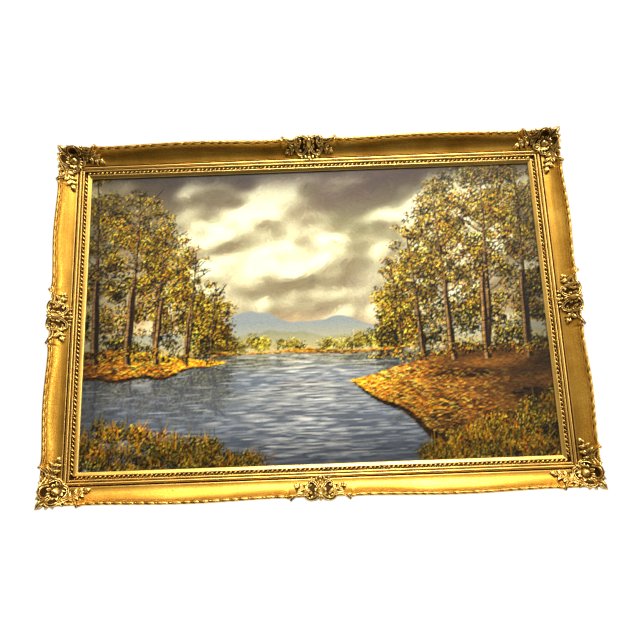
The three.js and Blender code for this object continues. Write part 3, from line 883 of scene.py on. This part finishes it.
def paint_landscape():
    """Paints the whole picture, from the sky forwards, and gives its field."""
    paint_sky()
    paint_distance()
    autumn = GOLD + OLIVE
    paint_wood(-10, 285, lambda x: 560 - 240 * smoothstep(x, 110, 285), autumn, 330)
    paint_wood(590, CANVAS_WIDTH + 10, lambda x: 330 + 270 * smoothstep(x, 590, 740), autumn, 430)
    for x, height, lean, crown in LEFT_TREES + RIGHT_TREES:
        base = 222 - 0.04 * x if x < MIDDLE_X else 212
        paint_tree(x, base, height, lean, crown, autumn + (RUST if x in (92, 788) else GOLD))
    paint_water()
    ground(far_bank, 250, 640, HAZE + GOLD, 260)
    ground(left_bank, 0, 300, RUST + EARTH + GOLD, 2000)
    ground(near_bank, 470, CANVAS_WIDTH, RUST + EARTH + GOLD + PALE, 6400)
    for x, height, lean, crown in LEFT_TREES[:4] + RIGHT_TREES[1:]:
        base = 214 - 0.04 * x if x < MIDDLE_X else 198
        limb((x, base), (x + lean * 0.4, base + height * 0.45), height * 0.042, height * 0.026, 3, 0.97)
    for x in np.concatenate([np.linspace(575, CANVAS_WIDTH, 24), np.linspace(0, 250, 16)]):
        y = 214 + normal(0, 6) + (14 - x * 0.05 if x < MIDDLE_X else 0)
        foliage(x, y, 17, 8, RUST + OLIVE + GOLD, 3.4, 0.8)
    bushes(-10, 345, lambda x: 104 - 0.22 * max(x, 0), 150)
    bushes(660, CANVAS_WIDTH + 10, lambda x: 24 + 0.40 * (x - 660), 190)
    # darker towards the canvas's edges: painted shade, standing in for the frame's shade on the canvas
    from_edge = np.minimum(np.minimum(field_x, field_x[::-1]), np.minimum(field_y, field_y[::-1]))
    field[..., :3] *= (0.72 + 0.28 * smoothstep(from_edge, 8, 110))[..., None]
    leafy = field[..., 3:]
    field[..., :3] += (field[..., :3] ** 1.5 * 1.22 - field[..., :3]) * (0.35 + 0.5 * leafy)
    grey = field[..., :3].mean(axis=-1, keepdims=True)
    autumnal = np.clip((field[..., :1] - field[..., 2:3]) * 4, 0, 1)
    field[..., :3] = grey + (field[..., :3] - grey) * (1 + WARMTH * autumnal * (0.4 + 0.6 * leafy))
    return np.clip(field, 0, 1)


def linear(colours):
    return np.where(colours <= 0.04045, colours / 12.92, ((colours + 0.055) / 1.055) ** 2.4)


# ---- canvas ----

TURN = 1.0  # radius where the canvas turns over the stretcher
CLOTH = 0.8
CRISP = 0.6  # sharpens the strokes, which the mesh's spacing softens
LINEN = (0.66, 0.57, 0.42)


def ring(columns, rows):
    """Numbers of a grid's border points, anticlockwise from its first point."""
    grid = np.arange(rows * columns).reshape(rows, columns)
    return np.concatenate([grid[0], grid[1:, -1], grid[-1, -2::-1], grid[-2:0:-1, 0]]).tolist()


def make_canvas():
    """The painted cloth: a fine front, turned back over the stretcher's edges, with its thickness."""
    front, back = -CANVAS_LOW[1], -CANVAS_HIGH[1]
    half = np.array([CANVAS_WIDTH / 2, CANVAS_HEIGHT / 2])
    centre = ((CANVAS_LOW + CANVAS_HIGH) / 2)[::2]
    grid_z, grid_x = np.meshgrid(np.linspace(-1, 1, ROWS), np.linspace(-1, 1, COLUMNS), indexing="ij")
    share = np.column_stack([grid_x.ravel(), grid_z.ravel()])

    def level(shares, inset, height):
        places = centre + shares * (half - inset)
        return np.column_stack([places[:, 0], np.full(len(places), -height), places[:, 1]])

    border = ring(COLUMNS, ROWS)
    rim = share[border]
    rings = [(TURN * 0.3, front - TURN * 0.3), (0, front - TURN), (0, back)]
    rings += [(CLOTH, back), (CLOTH, front - CLOTH)]
    points = np.concatenate([level(share, TURN, front)] + [level(rim, *place) for place in rings])
    faces = grid_faces(ROWS, COLUMNS)
    n, last = len(border), border
    for k in range(len(rings)):
        here = [len(share) + k * n + i for i in range(n)]
        faces += [[last[i], here[i], here[(i + 1) % n], last[(i + 1) % n]] for i in range(n)]
        last = here
    faces.append(last)
    canvas = make_mesh("painted_canvas", points * MM, faces)
    picture = paint_landscape()
    picture[..., :3] = linear(picture[..., :3])
    picture = picture.reshape(ROWS, FINE, COLUMNS, FINE, 4).mean(axis=(1, 3))
    around = sum(np.roll(picture, shift, axis) for axis in (0, 1) for shift in (-1, 1)) / 4
    picture = np.clip(picture + CRISP * (picture - around), 0, 1).reshape(-1, 4)
    colours = np.ones((len(points), 4))
    colours[:len(share), :3] = picture[:, :3]
    colours[len(share):, :3] = linear(np.array(LINEN))
    paint = canvas.data.color_attributes.new("paint", "FLOAT_COLOR", "POINT")
    paint.data.foreach_set("color", colours.astype(np.float32).ravel())
    store(canvas, "leafy", np.append(picture[:, 3], np.zeros(len(points) - len(share))))
    store(canvas, "bare", np.arange(len(points)) >= len(share) + n)
    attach(canvas, "root")
    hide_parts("canvas")
    return canvas


# ---- finishes ----

def open_tree(owner):
    """Opens a material's or a world's node tree. Nodes made from now on go into it."""
    global tree
    owner.use_nodes = True
    tree = owner.node_tree


def new_material(name):
    material = bpy.data.materials.new(name)
    open_tree(material)
    return material, tree.nodes["Principled BSDF"]


def plug(node, inputs):
    """Fills a node's inputs, each with a value or with the socket that it is linked from."""
    for key, value in inputs.items():
        if isinstance(value, bpy.types.NodeSocket):
            tree.links.new(value, node.inputs[key])
        else:
            node.inputs[key].default_value = value


def add(kind, inputs=None, **settings):
    node = tree.nodes.new("ShaderNode" + kind)
    for key, value in settings.items():
        setattr(node, key, value)
    plug(node, inputs or {})
    return node


def position():
    return add("TexCoord").outputs["Object"]


def stretched(scale):
    """Object coordinates, in features per metre along each axis."""
    return add("Mapping", {"Vector": position(), "Scale": scale}).outputs["Vector"]


def noise(scale, detail=3.0, roughness=0.55):
    """Noise of scale features per metre, or of a scale for each axis."""
    if isinstance(scale, tuple):
        vector, scale = stretched(scale), 1.0
    else:
        vector = position()
    keys = {"Vector": vector, "Scale": scale, "Detail": detail, "Roughness": roughness}
    return add("TexNoise", keys).outputs["Fac"]


def maths(operation, a, b=0.5, clamp=False):
    return add("Math", {0: a, 1: b}, operation=operation, use_clamp=clamp).outputs[0]


def times(a, b):
    return maths("MULTIPLY", a, b)


def plus(a, b, clamp=False):
    return maths("ADD", a, b, clamp)


def mix(share, a, b):
    """Colour b over colour a, by the share."""
    a, b = ((*colour, 1) if isinstance(colour, tuple) else colour for colour in (a, b))
    return add("Mix", {0: share, 6: a, 7: b}, data_type="RGBA").outputs[2]


def ramp(value, stops):
    node = add("ValToRGB", {"Fac": value})
    band = node.color_ramp
    while len(band.elements) < len(stops):
        band.elements.new(0.5)
    for element, (place, colour) in zip(band.elements, stops):
        element.position = place
        element.color = (*colour, 1) if isinstance(colour, tuple) else (colour, colour, colour, 1)
    return node.outputs["Color"]


def remap(value, low, high, to_low=0.0, to_high=1.0):
    keys = {"Value": value, "From Min": low, "From Max": high, "To Min": to_low, "To Max": to_high}
    return add("MapRange", keys).outputs["Result"]


def bump(height, distance, strength, **over):
    """over, as Normal=..., is the relief that this one lies on."""
    keys = {"Height": height, "Distance": distance, "Strength": strength, **over}
    return add("Bump", keys).outputs["Normal"]


def attribute(name, kind="Fac"):
    return add("Attribute", attribute_name=name).outputs[kind]


WARM_GOLD = [(0.62, 0.27, 0.028), (0.80, 0.39, 0.045), (0.90, 0.50, 0.08)]
ANTIQUE_GOLD = [(0.24, 0.105, 0.015), (0.38, 0.19, 0.03), (0.54, 0.30, 0.06)]
# the crests' colour: burnished gold with a painted highlight
BURNISHED_HIGHLIGHT_GOLD = (0.96, 0.67, 0.20)
BOLE = (0.30, 0.10, 0.02)  # the red ground where the leaf is worn


def gilt_finish(name, body, ground, recess, crest, tone, streaked):
    """Burnished gold leaf, worn in places: crests lightened by burnish and a painted highlight, recesses
    darkened by toning and painted shade.

    crest and recess are the cavity shares at which it is brightest and darkest. tone is where the toning and
    painted shade start.
    """
    material, shader = new_material(name)
    hollow = attribute("cavity")
    cloudy = noise(16.0, 4.0)
    fine = noise(420.0)
    place = {"X": attribute("along"), "Y": attribute("out")}
    vector = add("Mapping", {"Vector": add("CombineXYZ", place).outputs[0], "Scale": (0.012, 0.7, 1)})
    streaks = add("TexNoise", {"Vector": vector.outputs[0], "Scale": 1.0, "Detail": 4.0}).outputs["Fac"]
    if streaked:
        cloudy = plus(times(cloudy, 0.55), times(streaks, 0.45))
    toned_and_shaded = plus(hollow, times(maths("SUBTRACT", fine, 0.5), 0.5))
    leaf_gold = ramp(cloudy, [(0.34, body[0]), (0.50, body[1]), (0.66, body[2])])
    # lighter on the crests: burnish with a painted highlight
    crests = remap(toned_and_shaded, -0.06, -crest)
    bright = mix(crests, leaf_gold, BURNISHED_HIGHLIGHT_GOLD)
    # darker in the recesses, down to the ground colour: toning with painted shade
    depth = remap(toned_and_shaded, tone, recess)
    colour = mix(depth, bright, ground)
    worn = ramp(noise(95.0, 6.0, 0.7), [(0.66, 0.0), (0.72, 1.0)])
    colour = mix(times(worn, 0.4), colour, BOLE)
    bare = attribute("bare")
    wood = ramp(streaks, [(0.35, (0.24, 0.14, 0.07)), (0.50, (0.42, 0.28, 0.15)), (0.65, (0.52, 0.36, 0.21))])
    colour = mix(bare, colour, wood)
    metal = times(remap(depth, 0.0, 1.0, 0.93, 0.85), maths("SUBTRACT", 1.0, bare))
    rough = plus(remap(plus(cloudy, depth), 0.3, 1.4, 0.26, 0.60), times(bare, 0.3), clamp=True)
    relief = bump(fine, 0.0003, 0.4)
    plug(shader, {"Base Color": colour, "Metallic": metal, "Roughness": rough, "Normal": relief})
    return material


def painting_finish():
    """Oil paint in small dabs, varnished, on linen that is bare behind."""
    material, shader = new_material("oil_on_linen")
    paint, bare, leafy = attribute("paint", "Color"), attribute("bare"), attribute("leafy")
    dabs = add("TexVoronoi", {"Vector": stretched((420.0, 420.0, 480.0)), "Scale": 1.0})
    tone = add("SeparateColor", {"Color": dabs.outputs["Color"]}).outputs["Red"]
    strokes = noise((140.0, 140.0, 420.0), 4.0, 0.6)
    calm = remap(plus(tone, strokes), 0.2, 1.7, 0.90, 1.12)
    lively = remap(plus(tone, strokes), 0.35, 1.6, 0.60, 1.50)
    shade = add("Mix", {"Factor": leafy, "A": calm, "B": lively}, data_type="FLOAT").outputs[0]
    painted = add("VectorMath", {0: paint, "Scale": shade}, operation="SCALE").outputs["Vector"]
    threads = times(wave("X"), wave("Z"))
    slub = noise((60.0, 60.0, 900.0))
    cloth = [(0.20, (0.22, 0.16, 0.09)), (0.50, (0.42, 0.33, 0.20)), (0.80, (0.55, 0.45, 0.30))]
    linen = ramp(plus(times(threads, 0.5), times(slub, 0.6)), cloth)
    colour = mix(bare, painted, linen)
    weave = bump(threads, 0.00012, 0.35)
    impasto = bump(plus(strokes, tone), 0.0004, 0.55, Normal=weave)
    rough = plus(remap(strokes, 0.3, 0.7, 0.30, 0.46), times(bare, 0.5), clamp=True)
    plug(shader, {"Base Color": colour, "Roughness": rough, "Normal": impasto, "Specular IOR Level": 0.22})
    return material


def wave(axis):
    """Threads of linen, 1.4 to the millimetre."""
    return add("TexWave", {"Vector": position(), "Scale": 220.0, "Distortion": 0.6, "Detail": 1.0},
               wave_type="BANDS", bands_direction=axis).outputs["Fac"]


def pine_finish(name, along):
    """Planed pine with its grain along one axis (0 or 2), yellowed and a little dusty."""
    material, shader = new_material(name)
    scale = [150.0, 150.0, 150.0]
    scale[along] = 5.0
    rings = noise(tuple(scale), 3.0, 0.5)
    pores = noise(tuple(s * 6 for s in scale), 2.0)
    wood = ramp(rings, [(0.32, (0.60, 0.40, 0.20)), (0.50, (0.72, 0.52, 0.29)), (0.60, (0.50, 0.30, 0.13))])
    dusty = mix(remap(noise(9.0), 0.45, 0.75, 0.0, 0.4), wood, (0.42, 0.33, 0.24))
    relief = bump(plus(rings, pores), 0.0003, 0.4)
    rough = remap(pores, 0.3, 0.7, 0.55, 0.75)
    plug(shader, {"Base Color": dusty, "Roughness": rough, "Normal": relief})
    return material


def steel_finish():
    """Zinc-plated steel, dulled and spotted."""
    material, shader = new_material("glazier_steel")
    spots = noise(900.0, 4.0, 0.65)
    colour = ramp(spots, [(0.35, (0.20, 0.17, 0.14)), (0.55, (0.52, 0.52, 0.51)), (0.75, (0.66, 0.67, 0.68))])
    rough, relief = remap(spots, 0.3, 0.7, 0.6, 0.32), bump(spots, 0.0001, 0.4)
    plug(shader, {"Base Color": colour, "Metallic": 0.9, "Roughness": rough, "Normal": relief})
    return material


def dress_solids():
    """Gives the solids that stay in view their real finish."""
    across, upright = pine_finish("pine_across", 0), pine_finish("pine_upright", 2)
    steel = steel_finish()
    for name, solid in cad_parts.items():
        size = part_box(name)[1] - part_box(name)[0]
        if name.startswith("point_"):
            finish = steel
        elif name.startswith(("stretcher_", "key_")):
            finish = across if size.x > size.z else upright
        else:
            continue
        for slot in solid.material_slots:
            slot.material = finish


# ---- room, light and camera ----

FLOOR_DROP = 1.7  # below the picture's middle, as it hangs
FLOOR_HALF = 2.0
FLOOR_BEHIND = 1.5  # how far its middle lies behind the picture
SPREAD = radians(80)
LAMPS = [  # name, place, size, power
    ("key", (0.2, -1.8, 1.8), (1.3, 0.6), 24),
    ("fill", (2.0, -1.4, 0.3), (0.7, 1.0), 4),
]
SIGHT_PLANE = -20.5  # mm, the lip's front
EYE = Vector((0.01448, -1.32254, -0.35845))  # from the middle of the sight edge's plane
LOOK = Vector((-0.00318, 0.96900, 0.24704))
UP = Vector((0.03695, -0.24675, 0.96837))
LENS = 39.375
SENSOR = 36


def make_floor():
    height = MIDDLE_Z * MM - FLOOR_DROP
    steps = np.linspace(-FLOOR_HALF, FLOOR_HALF, 9)
    x, y = np.meshgrid(steps, steps + FLOOR_BEHIND, indexing="ij")
    points = np.column_stack([x.ravel(), y.ravel(), np.full(x.size, height)])
    floor = make_mesh("floor", points, [face[::-1] for face in grid_faces(9, 9)], smooth=False)
    material, shader = new_material("pale_floor")
    tone = ramp(noise(3.0), [(0.3, (0.80, 0.79, 0.77)), (0.7, (0.86, 0.85, 0.83))])
    plug(shader, {"Base Color": tone, "Roughness": 0.8})
    floor.data.materials.append(material)


def make_light():
    """Soft boxes above and beside, a pale room, a white backdrop for the camera, and two lamps."""
    world = bpy.data.worlds.new("studio")
    open_tree(world)
    way = add("SeparateXYZ", {"Vector": add("TexCoord").outputs["Generated"]}).outputs
    overhead = remap(way["Z"], 0.40, 0.86, 0.05, 1.04)
    beside = times(remap(maths("ABSOLUTE", way["X"]), 0.32, 0.70), remap(way["Z"], -0.35, 0.10))
    boxes = times(beside, remap(way["X"], -0.5, 0.5, 0.50, 0.95))
    front = ramp(maths("DIVIDE", maths("MAXIMUM", overhead, boxes), 1.5), [
        (0.0, (0.0, 0.0, 0.0)), (1.0, (1.5, 1.47, 1.42))])
    behind = remap(way["Y"], 0.05, 0.40)
    room = mix(behind, front, (0.8, 0.8, 0.8))
    seen = mix(add("LightPath").outputs["Is Camera Ray"], room, (1.0, 1.0, 1.0))
    plug(tree.nodes["Background"], {"Color": seen, "Strength": 1.05})
    bpy.context.scene.world = world
    for name, place, size, power in LAMPS:
        lamp = bpy.data.lights.new(name, "AREA")
        lamp.shape, lamp.size, lamp.size_y, lamp.energy = "RECTANGLE", *size, power
        lamp.spread = SPREAD
        thing = placed(name, lamp)
        thing.location = Vector(place)
        aim = Vector((0, 0, MIDDLE_Z * MM)) - thing.location
        thing.rotation_mode = "QUATERNION"
        thing.rotation_quaternion = aim.to_track_quat("-Z", "Y")


def make_camera():
    camera = bpy.data.cameras.new("camera")
    camera.lens = LENS
    camera.sensor_width = SENSOR
    thing = placed("camera", camera)
    middle = Vector((0, SIGHT_PLANE, MIDDLE_Z)) * MM
    right = LOOK.cross(UP).normalized()
    up = right.cross(LOOK).normalized()
    turn = Matrix((right, up, -LOOK.normalized())).transposed()
    thing.matrix_world = Matrix.Translation(middle + EYE) @ turn.to_4x4()
    bpy.context.scene.camera = thing


# ---- the whole ----

bpy.context.scene.view_settings.view_transform = "Standard"
make_camera()
make_light()
make_floor()
rails = [make_rail(name) for name in SIDES]
ornaments = make_ornaments()
canvas = make_canvas()
# the third colour is the recesses' colour: toning with painted shade
rail_gilt = gilt_finish(
    "gilt_rail", WARM_GOLD, (0.040, 0.016, 0.002), recess=0.30, crest=0.85, tone=0.02, streaked=True)
relief_gilt = gilt_finish(
    "gilt_relief", ANTIQUE_GOLD, (0.050, 0.021, 0.003), recess=0.46, crest=0.62, tone=-0.06, streaked=False)
for rail in rails:
    rail.data.materials.append(rail_gilt)
for ornament in ornaments:
    ornament.data.materials.append(relief_gilt)
canvas.data.materials.append(painting_finish())
dress_solids()

bpy.context.view_layer.update()
